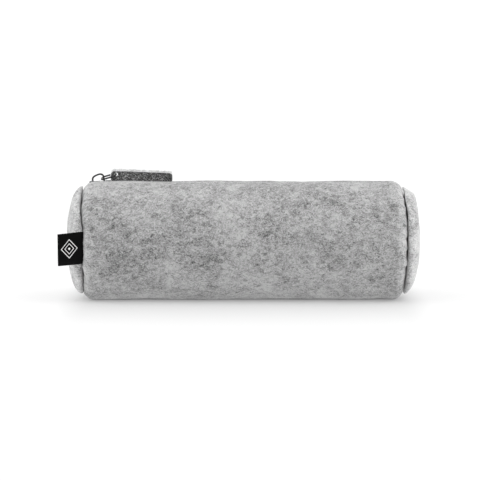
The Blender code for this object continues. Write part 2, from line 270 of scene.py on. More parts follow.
class Graph:
    """A material's nodes in a few words. A factor or a colour is a number or another node's output."""

    def __init__(self, name, **values):
        self.mat = bpy.data.materials.new(name)
        self.mat.use_nodes = True
        self.tree = self.mat.node_tree
        self.shader = self.tree.nodes["Principled BSDF"]
        for key, value in values.items():
            self.shader.inputs[key.replace("_", " ")].default_value = value
        self.cloth = self.node("Attribute", attribute_name="cloth").outputs["Vector"]

    def node(self, kind, inputs=(), **settings):
        node = self.tree.nodes.new("ShaderNode" + kind)
        for key, value in settings.items():
            setattr(node, key, value)
        for key, value in dict(inputs).items():
            self.feed(node.inputs[key], value)
        return node

    def feed(self, socket, value):
        if isinstance(value, bpy.types.NodeSocket):
            self.tree.links.new(value, socket)
        else:
            socket.default_value = value

    def stretched(self, scale=(1, 1, 1), turn=0.0, shift=0.0):
        inputs = {"Vector": self.cloth, "Scale": scale, "Rotation": (0, 0, turn), "Location": (shift,) * 3}
        return self.node("Mapping", inputs).outputs[0]

    def noise(self, scale, detail=2.0, rough=0.5, distortion=0.0, at=None):
        """Cloudy noise round 0.5, with scale in lumps per millimetre of cloth."""
        inputs = {"Vector": at or self.cloth, "Scale": scale, "Detail": detail, "Roughness": rough,
                  "Distortion": distortion}
        return self.node("TexNoise", inputs).outputs[0]

    def math(self, how, a, b=0.0):
        return self.node("Math", {0: a, 1: b}, operation=how).outputs[0]

    def range(self, value, low, high, to_low=0.0, to_high=1.0):
        inputs = {"Value": value, "From Min": low, "From Max": high, "To Min": to_low, "To Max": to_high}
        return self.node("MapRange", inputs, interpolation_type="SMOOTHSTEP").outputs[0]

    def sum(self, base, *parts):
        """base plus each (output, weight, middle), with the output counted from that middle."""
        total = base - sum(w * m for _, w, m in parts)
        for output, weight, _ in parts:
            total = self.math("ADD", self.math("MULTIPLY", output, weight), total)
        return total

    def lines(self, value, width):
        """Thin lines where a noise crosses its middle."""
        away = self.math("ABSOLUTE", self.math("SUBTRACT", value, 0.5))
        return self.range(away, 0.0, width, 1.0, 0.0)

    def ramp(self, value, stops):
        node = self.node("ValToRGB", {"Fac": value})
        elements = node.color_ramp.elements
        while len(elements) < len(stops):
            elements.new(1.0)
        for element, (position, colour) in zip(elements, stops):
            element.position = position
            element.color = (*colour, 1)
        return node.outputs[0]

    def mix(self, factor, a, b):
        node = self.node("Mix", data_type="RGBA")
        for socket, value in ((node.inputs[0], factor), (node.inputs[6], a), (node.inputs[7], b)):
            if isinstance(value, tuple):
                value = (*value, 1)
            self.feed(socket, value)
        return node.outputs[2]

    def finish(self, colour=None, roughness=None, height=None, distance=0.0002, strength=0.5):
        if colour is not None:
            self.feed(self.shader.inputs["Base Color"], colour)
        if roughness is not None:
            self.feed(self.shader.inputs["Roughness"], roughness)
        if height is not None:
            inputs = {"Height": height, "Distance": distance, "Strength": strength}
            self.feed(self.shader.inputs["Normal"], self.node("Bump", inputs).outputs[0])
        return self.mat


def grey(value):
    return (value, value, value)


def melange_felt(name, dark, light, sheen=0.3):
    """Pressed wool: a cloudy grey ground with clusters of dark specks and fine curved hairs."""
    g = Graph(name, Sheen_Weight=sheen, Sheen_Roughness=0.6, Specular_IOR_Level=0.15)
    tall = g.stretched((0.8, 1.05, 1), turn=0.15)
    cloud = g.noise(0.055, 2, 0.5, 0.4, at=g.stretched(shift=13.0))
    mottle = g.noise(0.24, 3, 0.6, 1.0, at=tall)
    speckle = g.noise(0.66, 4, 0.6, 1.8, at=tall)
    grain = g.noise(2.0, 2, 0.6)
    specks = g.range(g.noise(0.8, 2, 0.6, 0.9, at=g.stretched((1, 0.8, 1), shift=55.0)), 0.52, 0.68)
    patches = g.range(g.noise(0.13, 1, 0.5, at=g.stretched(shift=31.0)), 0.42, 0.62)
    hairs = g.math("MULTIPLY", g.lines(g.noise(0.2, 2, 0.55, 1.6), 0.012), patches)
    more = g.lines(g.noise(0.33, 2, 0.6, 1.2, at=g.stretched(turn=0.9, shift=77.0)), 0.013)
    pale = g.lines(g.noise(0.28, 2, 0.6, 1.4, at=g.stretched(turn=2.1, shift=140.0)), 0.012)
    clustered = g.math("MULTIPLY", specks, g.range(mottle, 0.36, 0.64, 1.0, 0.15))
    value = g.sum(0.56, (cloud, 0.85, 0.5), (mottle, 1.0, 0.5), (speckle, 2.3, 0.5), (grain, 0.8, 0.5),
                  (clustered, -0.12, 0.12), (hairs, -0.25, 0.06), (more, -0.16, 0.06), (pale, 0.2, 0.06))
    shades = [dark + (light - dark) * share for share in (0, 0.44, 0.77, 1)]
    colour = g.ramp(value, list(zip((0.0, 0.42, 0.7, 1.0), map(grey, shades))))
    height = g.sum(0.5, (speckle, 0.8, 0.5), (grain, 0.7, 0.5), (hairs, 0.25, 0.0), (pale, 0.25, 0.0))
    rough = g.range(grain, 0.3, 0.7, 0.88, 1.0)
    return g.finish(colour, rough, height, 0.00028, 0.6)


def charcoal_felt(name):
    """Salt-and-pepper wool, its fibres combed along the tab."""
    g = Graph(name, Sheen_Weight=0.15, Sheen_Roughness=0.6, Specular_IOR_Level=0.15)
    combed = g.stretched((0.6, 1.1, 1.1))
    streaks = g.noise(1.9, 3, 0.7, 0.5, at=combed)
    grain = g.noise(3.4, 2, 0.6, at=combed)
    cloud = g.noise(0.25, 1, 0.5)
    value = g.sum(0.5, (streaks, 2.6, 0.5), (grain, 1.6, 0.5), (cloud, 0.5, 0.5))
    colour = g.ramp(value, [(0.0, grey(0.010)), (0.45, grey(0.045)), (0.75, grey(0.14)), (1.0, grey(0.45))])
    height = g.sum(0.5, (streaks, 1.0, 0.5), (grain, 0.8, 0.5))
    return g.finish(colour, g.range(grain, 0.3, 0.7, 0.85, 1.0), height, 0.00025, 0.6)


def label_satin(name, centre, half):
    """Black woven satin. A plain lozenge in white thread is woven into its outer face."""
    g = Graph(name, Specular_IOR_Level=0.06)
    parts = g.node("SeparateXYZ", {"Vector": g.cloth}).outputs
    across = g.math("DIVIDE", g.math("ABSOLUTE", g.math("SUBTRACT", parts[0], centre[0])), half[0])
    up = g.math("DIVIDE", g.math("ABSOLUTE", g.math("SUBTRACT", parts[1], centre[1])), half[1])
    reach = g.math("ADD", across, up)

    def band(at, width):
        return g.range(g.math("ABSOLUTE", g.math("SUBTRACT", reach, at)), width * 0.6, width, 1.0, 0.0)

    marks = g.math("MAXIMUM", band(1.0, 0.065), g.math("MAXIMUM", band(0.56, 0.06), band(0.0, 0.2)))
    white = g.math("MULTIPLY", marks, g.range(parts[2], 0.4, 0.6))
    ribs = g.node("TexWave", {"Vector": g.cloth, "Scale": 1.3, "Distortion": 0.4, "Detail": 1.0},
                  bands_direction="Y").outputs[1]
    fine = g.noise(2.5, 2, 0.5, at=g.stretched((0.3, 2.0, 1)))
    black = g.ramp(fine, [(0.3, grey(0.0006)), (0.7, grey(0.0018))])
    thread = g.ramp(fine, [(0.3, grey(0.62)), (0.7, grey(0.85))])
    height = g.sum(0.5, (ribs, 0.5, 0.5), (fine, 0.3, 0.5), (white, 0.9, 0.0))
    rough = g.range(fine, 0.3, 0.7, 0.42, 0.58)
    return g.finish(g.mix(white, black, thread), rough, height, 0.00006, 0.5)


def woven_tape(name):
    """A twill tape: ribs along and across it."""
    g = Graph(name, Sheen_Weight=0.1, Specular_IOR_Level=0.25)
    weft = g.node("TexWave", {"Vector": g.cloth, "Scale": 0.5, "Distortion": 0.3}).outputs[1]
    warp = g.node("TexWave", {"Vector": g.cloth, "Scale": 0.7, "Distortion": 0.3},
                  bands_direction="Y").outputs[1]
    weave = g.math("MULTIPLY", weft, warp)
    fluff = g.noise(1.4, 2, 0.6)
    value = g.sum(0.45, (weave, 0.55, 0.3), (fluff, 0.5, 0.5))
    colour = g.ramp(value, [(0.0, grey(0.10)), (1.0, (0.36, 0.36, 0.37))])
    return g.finish(colour, g.range(fluff, 0.3, 0.7, 0.75, 0.95), weave, 0.00015, 0.8)


def coil_nylon(name):
    """Satin grey nylon, a little cloudy."""
    g = Graph(name, Specular_IOR_Level=0.5, Coat_Weight=0.1, Coat_Roughness=0.3)
    cloudy = g.noise(0.8, 2, 0.6)
    colour = g.ramp(cloudy, [(0.3, grey(0.16)), (0.7, (0.25, 0.25, 0.26))])
    return g.finish(colour, g.range(cloudy, 0.3, 0.7, 0.34, 0.5), g.noise(4.0, 1, 0.5), 0.00002, 0.4)


def plated_metal(name):
    """Nickel drawn nearly black, as painted dark reflections, worn a little lighter in places, with fine
    rubbing marks.
    """
    g = Graph(name, Metallic=1.0, Coat_Weight=0.1, Coat_Roughness=0.12)
    cloudy = g.noise(0.7, 3, 0.6)
    rubbed = g.noise(3.0, 2, 0.6, at=g.stretched((0.2, 2.5, 2.5)))
    value = g.sum(0.5, (cloudy, 0.8, 0.5), (rubbed, 0.6, 0.5))
    # The ramp's near-black colours are painted dark reflection, not the plated metal's own colour.
    colour = g.ramp(value, [(0.0, grey(0.02)), (0.6, grey(0.05)), (1.0, (0.16, 0.158, 0.15))])
    rough = g.range(rubbed, 0.3, 0.7, 0.18, 0.36)
    return g.finish(colour, rough, rubbed, 0.00002, 0.3)


def sewing_thread(name):
    """Two-ply thread: a slanted twist in mid grey."""
    g = Graph(name, Sheen_Weight=0.2, Specular_IOR_Level=0.3)
    twist = g.node("TexWave", {"Vector": g.stretched(turn=0.7), "Scale": 1.1}).outputs[1]
    fluff = g.noise(2.0, 2, 0.6)
    colour = g.ramp(g.sum(0.5, (twist, 0.4, 0.5), (fluff, 0.4, 0.5)),
                    [(0.0, grey(0.2)), (1.0, grey(0.46))])
    return g.finish(colour, g.range(fluff, 0.3, 0.7, 0.6, 0.8), twist, 0.00005, 0.6)


# ---------------------------------------------------------------- the felt barrel

def on_barrel(x, r, phi, side, floor):
    """Points of the barrel, phi from straight down, pressed flat at the height of the floor.

    side is -1 for the front half and 1 for the back.
    """
    z = AXIS_Z - r * np.cos(phi)
    lift = np.logaddexp(0, (z - floor) / FLOOR_SOFTNESS) * FLOOR_SOFTNESS
    return np.stack([x + 0 * phi, side * r * np.sin(phi), floor + lift], -1)


# (height, how far the end seam is pulled in there)
LEFT_PULL = [(0.0, 0.0009), (0.003, 0.0012), (0.010, 0.0019), (0.020, 0.0021), (0.044, 0.0021),
             (0.052, 0.0013), (0.058, 0.0006), (0.064, 0.0006), (0.072, 0.0009)]
RIGHT_PULL = [(0.0, 0.0012), (0.008, 0.0010), (0.022, 0.0003), (0.045, 0.0002), (0.054, 0.0006),
              (0.063, 0.0015), (0.072, 0.0022)]


def seam_pull(phi, side, left):
    """How far an end seam is pulled in along the front, by height. It fades out round the back."""
    heights, pulls = zip(*(LEFT_PULL if left else RIGHT_PULL))
    pull = np.interp(AXIS_Z - BODY_R * np.cos(phi), heights, pulls)
    return pull if side < 0 else pull * bump(np.sin(phi) / 0.35)


def pucker(phi, side, left, size, seed):
    """Noise round the barrel's girth, its own at each end."""
    end = np.full_like(phi, -0.031 if left else 0.047)
    around = np.stack([end, side * BODY_R * np.sin(phi), BODY_R * np.cos(phi)], -1)
    return noise_at(around, size, seed)


def corner_drop(phi, left):
    """How far the barrel's corner drops below its rolled radius, most at the top left."""
    up = smooth((1 - np.cos(phi)) / 2)
    return 0.0001 + 0.0012 * up if left else 0.0006 - 0.0004 * up


def barrel_profile():
    """The felt's middle line along the barrel, from one turned-in edge to the other, and its normals."""
    mid = ROLL_R - FELT / 2
    cx, cr = SEAM_X - ROLL_R, BODY_R - ROLL_R
    turns = np.linspace(0, pi / 2, 13)
    right = [(cx + mid * cos(t), cr + mid * sin(t), cos(t), sin(t)) for t in turns]
    flange = [(cx + mid, r, 1, 0) for r in np.linspace(ALLOWANCE_R, cr, 3)[:-1]]
    half = flange + right
    count = round(2 * cx / X_STEP)
    straight = [(x, cr + mid, 0, 1) for x in np.linspace(cx, -cx, count + 1)[1:-1]]
    left = [(-x, r, -nx, nr) for x, r, nx, nr in reversed(half)]
    return np.array(half + straight + left)[::-1]


NEAR_SEAM, WIDE_OF_SEAM = 0.0055, 0.013  # how far puckers reach from an end seam
CORNER_REACH = 0.011
TOP_DIPS = ((0.0002, 0.026, 0.03), (0.00025, -0.05, 0.02))  # (depth, x, reach) along the top
PULL_START, PULL_REACH = 0.076, 0.016
STITCH_DENT, STITCH_DENT_REACH = 0.0003, 0.0011


def barrel_moves(x, phi, side):
    """(along, outwards) moves of the felt from a true barrel: lumps, puckers, sag and pulled seam."""
    around = np.stack([x, side * BODY_R * np.sin(phi), BODY_R * np.cos(phi)], -1)
    out = sum(height * noise_at(around, size, seed) for height, size, seed in LUMPS)
    along = np.zeros_like(out)
    edge = SEAM_X - np.abs(x)
    for left in (True, False):
        here = (x < 0) == left
        way = -1 if left else 1
        near, wide = here * bump(edge / NEAR_SEAM), here * bump(edge / WIDE_OF_SEAM)
        fine, broad = pucker(phi, side, left, 0.0030, 4), pucker(phi, side, left, 0.0085, 5)
        out -= near * (0.0001 + 0.0009 * fine) + wide * 0.00045 * broad
        wobble = 0.0009 * pucker(phi, side, left, 0.0042, 6) + 0.0005 * pucker(phi, side, left, 0.0021, 7)
        along += way * near * (wobble - 0.0002)
        out -= here * corner_drop(phi, left) * np.square(np.maximum(CORNER_REACH - edge, 0) / CORNER_REACH)
    out -= side * 0.0005 * smooth((phi - radians(140)) / radians(30)) * bump(x / 0.09)
    top = smooth((-np.cos(phi) - 0.7) / 0.3)
    for depth, middle, reach in TOP_DIPS:
        out -= top * depth * bump((x - middle) / reach)
    for left, way in ((True, -1), (False, 1)):
        along -= way * smooth((way * x - PULL_START) / PULL_REACH) * seam_pull(phi, side, left)
    from_mouth = (phi_top() - phi) * BODY_R
    out -= STITCH_DENT * bump((from_mouth - STITCH_IN) / STITCH_DENT_REACH) * (np.abs(x) < ZIP_FLAT)
    return along, out


def phi_top():
    return pi - asin(MOUTH_HALF / BODY_R)


def bend_with_lip(obj):
    """Bakes the piece's placing into its mesh. The ends of the mouth stay shut, as they are sewn to the end
    seams.
    """
    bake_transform(obj)


def felt_half(name, side, felt):
    """Half of the body felt, from the middle of its underside up to the mouth's cut edge."""
    profile = barrel_profile()
    round_off = EDGE_ROUND / BODY_R  # the cut edge is rounded over its last four rows
    phis = np.append(np.arange(0, phi_top() - 1.5 * round_off, PHI_STEP),
                     phi_top() - round_off * np.array([1.0, 0.45, 0.12, 0.0]))
    thin = np.zeros(len(phis))
    thin[-3:] = (0.0001, 0.0003, EDGE_ROUND)
    x, r = profile[:, 0][None, :], profile[:, 1][None, :]
    nx, nr = profile[:, 2][None, :], profile[:, 3][None, :]
    phi = phis[:, None] + 0 * x
    along, out = barrel_moves(x + 0 * phi, phi, side)
    half = FELT / 2 - thin[:, None]
    grids = []
    for way, floor in ((1, 0.0), (-1, FELT)):
        grids.append(on_barrel(x + along + way * nx * half, r + out + way * nr * half, phi, side, floor))
    run = path_length(profile[:, :2])
    run = (run - run[-1] / 2)[None, :] + 0 * phi
    coords = [np.stack([run, side * phi * BODY_R, np.full_like(phi, depth)], -1) * MM
              for depth in (0, FELT)]
    obj = sheet_mesh(name, *grids, *coords, felt, sharp_first=True)
    bend_with_lip(obj)
    return obj


# ---------------------------------------------------------------- the end panels

RIM_R = 0.0316
RIM_NEAR, RIM_WIDE = 0.0045, 0.010  # how far puckers reach from the rim
PANEL_LUMPS = ((0.0004, 0.016, 13), (0.00016, 0.006, 14))  # (height, size, seed)
END_STEP = radians(2.5)
END_LOWEST = 0.0006
INSIDE_FROM = 0.0012  # the felt's inner side starts this far out from the seam
END_PROFILE = [  # (out from the seam, radius) from the turned-in edge over the rim to the middle
    (0.0002, 0.0270), (0.0002, 0.0290), (0.0003, 0.0306), (0.0010, RIM_R), (0.0024, 0.0313),
    (0.0042, 0.0296), (0.0055, 0.0273), (0.0063, 0.0250), (0.0070, 0.0215), (0.0076, 0.0170),
    (0.0081, 0.0120), (0.0085, 0.0065), (0.0087, 0.0),
]


def end_section():
    """The panel's section over its outer side and back along its inner side, and where it turns back."""
    outer = smooth_path(END_PROFILE, 44)
    outer[-1, 1] = 0
    inner = outer[outer[:, 1] < ALLOWANCE_R - 0.0001] - (FELT, 0)
    inner = inner[inner[:, 0] > INSIDE_FROM]
    return np.vstack([outer, inner[::-1]]), len(outer) - 1


def end_moves(out, r, phi, side, way):
    """Where (out from the seam, radius) go as (x, radius): lumps, puckers, sag and pulled seam."""
    flat = np.stack([out * way, side * r * np.sin(phi), r * np.cos(phi)], -1)
    girth = np.stack([0 * r + 0.01 * way, side * RIM_R * np.sin(phi), RIM_R * np.cos(phi)], -1)
    fine, broad = noise_at(girth, 0.0036, 11), noise_at(girth, 0.009, 12)
    rim, wide = bump((RIM_R - r) / RIM_NEAR), bump((RIM_R - r) / RIM_WIDE)
    for height, size, seed in PANEL_LUMPS:
        out = out + height * noise_at(flat, size, seed)
    out = out - rim * (0.0002 + 0.0006 * fine) * (out > 0.0008) - wide * 0.0004 * broad
    sunk = (way > 0) * 0.0007 * smooth((-np.cos(phi) - 0.6) / 0.4)
    new_r = r + rim * (0.0005 * broad + 0.0005 * fine - sunk)
    pull = np.where(side < 0, seam_pull(phi, -1, way < 0), seam_pull(phi, 1, way < 0))
    # The pull fades from the rim to the middle. High up on the right end only the rim takes it.
    high = (way > 0) * smooth((AXIS_Z - new_r * np.cos(phi) - 0.035) / 0.015)
    share = smooth((r - 0.012 - 0.0155 * high) / (0.017 - 0.013 * high))
    return way * (SEAM_X + out) - way * pull * share, new_r


def end_panel(name, way, felt):
    """A domed end, its rim puckered where it is gathered into the seam. way is -1 at the left end."""
    section, pole = end_section()
    turns = np.arange(0, 2 * pi - 0.001, END_STEP)
    phi = np.where(turns > pi, 2 * pi - turns, turns)[:, None] + 0 * section[:, 0]
    side = np.where(turns > pi, -1.0, 1.0)[:, None]
    x, r = end_moves(section[:, 0][None, :] + 0 * phi, section[:, 1][None, :] + 0 * phi, phi, side, way)
    z = np.maximum(AXIS_Z - r * np.cos(phi), END_LOWEST)
    verts = np.stack([x, side * r * np.sin(phi), z], -1)
    run = path_length(section)
    run = (run - run[pole])[None, :]
    coords = np.stack([side * run * np.sin(phi), run * np.cos(phi), 0 * phi + 9 * (2 + way)], -1)
    coords[..., :2] *= MM
    rows, cols = phi.shape
    faces = [(k * cols + i, ((k + 1) % rows) * cols + i, ((k + 1) % rows) * cols + j, k * cols + j)
             for k in range(rows) for i, j in zip(range(cols), [*range(1, cols), 0])]
    obj = add_mesh(name, verts.reshape(-1, 3), faces, coords.reshape(-1, 3), felt)
    weld(obj)
    return obj


def weld(obj):
    """Closes the poles of a turned mesh."""
    bm = bmesh.new()
    bm.from_mesh(obj.data)
    bmesh.ops.remove_doubles(bm, verts=bm.verts, dist=1e-6)
    bmesh.ops.dissolve_degenerate(bm, edges=bm.edges, dist=1e-7)
    bmesh.ops.recalc_face_normals(bm, faces=bm.faces)
    bm.to_mesh(obj.data)
    bm.free()


# ---------------------------------------------------------------- the folded label

LABEL_T = 0.00026
LABEL_OUT, LABEL_R = 0.0139, 0.0315
LABEL_TOP, LABEL_BOTTOM = radians(104), radians(70.5)
LABEL_DROP = radians(2.8)
LABEL_PATH = [  # (out from the seam, radius): in the seam, out, round the fold and back over itself
    (-0.0003, 0.0288), (-0.0001, 0.0304), (0.0008, 0.0316), (0.0026, 0.0319), (0.0074, 0.0318),
    (0.0134, 0.03165), (LABEL_OUT, 0.0319), (0.0134, 0.03225), (0.0074, 0.0324), (0.0026, 0.0325),
    (0.0006, 0.0321), (-0.0006, 0.0308), (-0.0008, 0.0288),
]
FOLD_SHARE = 0.5
LOZENGE_OUT, LOZENGE_RISE = 7.4, 0.4  # its middle, in millimetres out from the seam and above the label's
LOZENGE_HALF = (4.6, 5.2)


def folded_label(name, satin):
    """A satin ribbon folded over on itself. A third coordinate of 1 marks its outer face."""
    line = smooth_path(LABEL_PATH, 80)
    normal = path_normals(line)
    length = path_length(line)
    decks = np.linspace(LABEL_BOTTOM, LABEL_TOP, 27)
    phi = decks[:, None] + 0 * length
    tall = (phi - LABEL_BOTTOM) / (LABEL_TOP - LABEL_BOTTOM)
    grids, coords = [], []
    for way in (1, -1):
        out = line[:, 0] + way * normal[:, 0] * LABEL_T / 2
        r = line[:, 1] + way * normal[:, 1] * LABEL_T / 2
        reach = np.clip(out / LABEL_OUT, 0, 1)
        wave = 0.0005 * reach * np.sin(2.2 * pi * tall + 0.6) + 0.0006 * reach**2 * (tall - 0.4)
        x = -SEAM_X - out + seam_pull(phi, -1, True)
        drop = LABEL_DROP * reach
        grids.append(on_barrel(x, r + wave, phi - drop, -1, 0.0))
        top_layer = (length > length[-1] * FOLD_SHARE) * (way < 0)
        coords.append(np.stack([out + 0 * phi, phi * LABEL_R, top_layer * 0.001 + 0 * phi], -1) * MM)
    return sheet_mesh(name, *grids, *coords, satin)


# ---------------------------------------------------------------- zip

def zip_drop(x):
    """How far the zip sinks at its ends, where it turns down into the end seams."""
    turn = TAPE_END - ZIP_FLAT
    past = np.clip(np.abs(x) - ZIP_FLAT, 0, turn)
    corner = ZIP_CORNER_DROP * np.square(np.maximum(np.abs(x) - ZIP_CORNER, 0) / ZIP_CORNER_REACH)
    return turn - np.sqrt(np.maximum(turn**2 - past**2, 0)) + corner


GROOVE_HALF, GROOVE_DEPTH = 0.00035, 0.0002


def zip_stop(name, node, metal):
    """A crimped metal block on the tapes, rounded, with the punch's groove across its top."""
    low, high = (np.array(corner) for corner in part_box(node))
    middle, half = (low + high) / 2, (high - low) / 2
    mesh = bpy.data.meshes.new(name)
    bm = bmesh.new()
    bmesh.ops.create_cube(bm, size=1.0)
    bmesh.ops.subdivide_edges(bm, edges=bm.edges, cuts=3, use_grid_fill=True)
    bmesh.ops.scale(bm, vec=high - low, verts=bm.verts)
    bmesh.ops.translate(bm, vec=middle, verts=bm.verts)
    bm.to_mesh(mesh)
    bm.free()
    obj = evaluated(name, mesh, metal, [("SUBSURF", {"levels": 2})])
    at = points_of(obj)
    groove = bump((at[:, 0] - middle[0]) / GROOVE_HALF) * smooth((at[:, 2] - middle[2]) / half[2])
    at[:, 2] -= zip_drop(at[:, 0]) + GROOVE_DEPTH * groove
    set_points(obj, at)
    store_cloth(obj.data, at * MM)
    return obj


def zip_tape(name, side, woven):
    """One tape, full length. It narrows and dips into the seam at each end."""
    xs = np.concatenate([np.linspace(-TAPE_END, -TAPE_TURN, 9),
                         np.linspace(-TAPE_TURN, TAPE_TURN, 90)[1:-1],
                         np.linspace(TAPE_TURN, TAPE_END, 9)])
    r = TAPE_R - zip_drop(xs)
    narrow = smooth((np.abs(xs) - TAPE_NARROWS) / TAPE_NARROWING)
    outer_y = TAPE_OUTER_Y + (TAPE_NARROW_Y - TAPE_OUTER_Y) * narrow
    share = np.linspace(0, 1, 9)[:, None]
    y = TAPE_INNER_Y + (outer_y[None, :] - TAPE_INNER_Y) * share
    grids, coords = [], []
    for depth in (0.0, TAPE_T):
        rr = r[None, :] - depth + 0 * y
        phi = pi - np.arcsin(y / rr)
        grids.append(on_barrel(xs[None, :] + 0 * y, rr, phi, side, 0.0))
        coords.append(np.stack([xs[None, :] + 0 * y, y, 0 * y + depth], -1) * MM)
    obj = sheet_mesh(name, *grids, *coords, woven)
    bend_with_lip(obj)
    return obj


def coil_row(name, side, nylon):
    """One row of a spun coil. The two rows' heads interlock, half a pitch apart."""
    low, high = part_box("zip_coil_front_left")[0][0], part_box("zip_coil_front_right")[1][0]
    middle = (COIL_LOW[2] + COIL_HIGH[2]) / 2
    # (y, height in millimetres, share of the pitch) round one turn, from the sewn side
    loop = [(0.00235, 0.36, 0.02), (0.0016, 0.38, 0.10), (0.0006, 0.38, 0.2), (-0.0001, 0.34, 0.3),
            (-0.00052, 0.12, 0.38), (-0.00055, -0.12, 0.44), (-0.0001, -0.34, 0.52),
            (0.0006, -0.38, 0.62), (0.0016, -0.38, 0.74), (0.0022, -0.3, 0.84), (0.0025, 0.05, 0.94)]
    shift = COIL_PITCH / 2 if side > 0 else 0
    turns = int((high - low - 3 * COIL_END_GAP) / COIL_PITCH)
    points = []
    for k in range(turns):
        for y, z, share in loop:
            x = low + COIL_END_GAP + shift + (k + share) * COIL_PITCH
            points.append((x, side * y, middle + z / MM - float(zip_drop(x))))
    obj = wire_mesh(name, [points], COIL_WIRE, nylon, sides=1)
    return finish_wire(obj)


def finish_wire(obj):
    """Coils and stitches take their cloth coordinates from where they lie, and have their placing baked
    into the mesh.
    """
    at = points_of(obj)
    store_cloth(obj.data, at * MM)
    bend_with_lip(obj)
    return obj


STITCH_SHAPE = ((0, -0.0005, 0.7), (0.12, -0.0001, 0.95), (0.5, 0.00003, 1.0),
                (0.88, -0.0001, 0.95), (1, -0.0005, 0.7))  # (along, lift, share of the radius)


def stitch_row(name, side, thread):
    """Topstitching beside the mouth, each stitch dipping into the felt at both ends."""
    phi = phi_top() - STITCH_IN / BODY_R
    count = int(2 * STITCH_ROW_HALF / STITCH_PITCH)
    splines = []
    for k in range(count):
        start = -STITCH_ROW_HALF + k * STITCH_PITCH
        points = []
        for share, lift, thick in STITCH_SHAPE:
            x = start + share * STITCH_PITCH * STITCH_SHARE
            _, out = barrel_moves(np.array([x]), np.array([phi]), side)
            spot = on_barrel(np.array([x]), np.array([BODY_R + out[0] + lift]), np.array([phi]), side, 0.0)
            points.append((*spot[0], thick))
        splines.append(points)
    obj = wire_mesh(name, splines, STITCH_WIRE, thread, sides=1)
    return finish_wire(obj)


# ---------------------------------------------------------------- slider, ring and tab

BAIL_HALF_WIDTH, BAIL_HALF_T, BAIL_ROUND = 0.0008, 0.00052, 0.55
BAIL_PATH = [(-0.0886, 0.0694), (-0.0887, 0.0706), (-0.0880, 0.0718), (-0.0864, 0.0727),
             (-0.0846, 0.0733), (-0.0832, 0.0731), (-0.0823, 0.0720), (-0.0819, 0.0694)]


def bail(name, metal):
    """A flat strip with rounded edges, bent over the slider."""
    line = smooth_path(BAIL_PATH, 40)
    normal = path_normals(line)
    turn = np.linspace(0, 2 * pi, 17)[:-1]
    across = np.sign(np.cos(turn)) * np.abs(np.cos(turn)) ** BAIL_ROUND * BAIL_HALF_WIDTH
    thick = np.sign(np.sin(turn)) * np.abs(np.sin(turn)) ** BAIL_ROUND * BAIL_HALF_T
    rings = [[(p[0] + n[0] * t, a, p[1] + n[1] * t) for a, t in zip(across, thick)]
             for p, n in zip(line, normal)]
    count = len(turn)
    verts = np.array(rings).reshape(-1, 3)
    faces = [(k * count + i, k * count + (i + 1) % count, (k + 1) * count + (i + 1) % count,
              (k + 1) * count + i) for k in range(len(line) - 1) for i in range(count)]
    faces += [tuple(range(count))[::-1], tuple((len(line) - 1) * count + i for i in range(count))]
    obj = add_mesh(name, verts, faces, verts * MM, metal)
    outward(obj)
    return obj


RING_PIVOT = Vector((-0.0834, 0, 0.0707))
RING_PITCH, RING_ROLL = radians(16.5), radians(9)
RING_L, RING_W, RING_CORNER, WIRE_R = 0.0089, 0.0068, 0.0024, 0.0005


def ring_frame():
    """The ring's plane: it leans up from the bail and rolls a little towards the front."""
    turn = Matrix.Rotation(RING_ROLL, 4, "X") @ Matrix.Rotation(-RING_PITCH, 4, "Y")
    return Matrix.Translation(RING_PIVOT) @ turn


def wire_ring(name, metal):
    """A closed wire rectangle with round corners."""
    half, c = RING_W / 2 - RING_CORNER, RING_CORNER
    corners = ((c, -half, 180), (RING_L - c, -half, 270), (RING_L - c, half, 0), (c, half, 90))
    points = []
    for x, y, start in corners:
        for k in range(9):
            t = radians(start + 90 * k / 8)
            points.append(tuple(ring_frame() @ Vector((x + c * cos(t), y + c * sin(t), 0))))
    obj = wire_mesh(name, [points], WIRE_R, metal, cyclic=True, sides=4)
    store_cloth(obj.data, points_of(obj) * MM)
    return obj


TAB_PLY, TAB_PLY_GAP, TAB_LEAN = 0.0015, 0.0002, radians(8)
TAB_LOW, TAB_TOP, TAB_FRONT_L, TAB_SLOPE = 0.0045, 0.0035, 0.0331, 0.0012
TAB_BACK_L, TAB_CORNER = 0.0034, 0.0024
FACE_BACK_L, FACE_CORNER, FACE_DROP = 0.0029, 0.0020, 0.0016
LOW_CORNER, HIGH_CORNER = 0.0014, 0.0018  # at the tab's free end
TAB_HOLE_R = 0.0011


def tab_outline(back_l, top, corner):
    """The ply's outline from the ring's hole: arcs at its four corners, its top falling to the free end."""
    left, right, r = -back_l, TAB_FRONT_L, corner
    low, high = LOW_CORNER, HIGH_CORNER
    top_right = top - TAB_SLOPE
    points = []
    for cx, cz, start, radius in (
            (left + r, r - TAB_LOW, 180, r), (right - low, low - TAB_LOW, 270, low),
            (right - high, top_right - high, 0, high), (left + r, top - r, 90, r)):
        for k in range(9):
            t = radians(start + 90 * k / 8)
            points.append((cx + radius * cos(t), cz + radius * sin(t)))
    return points


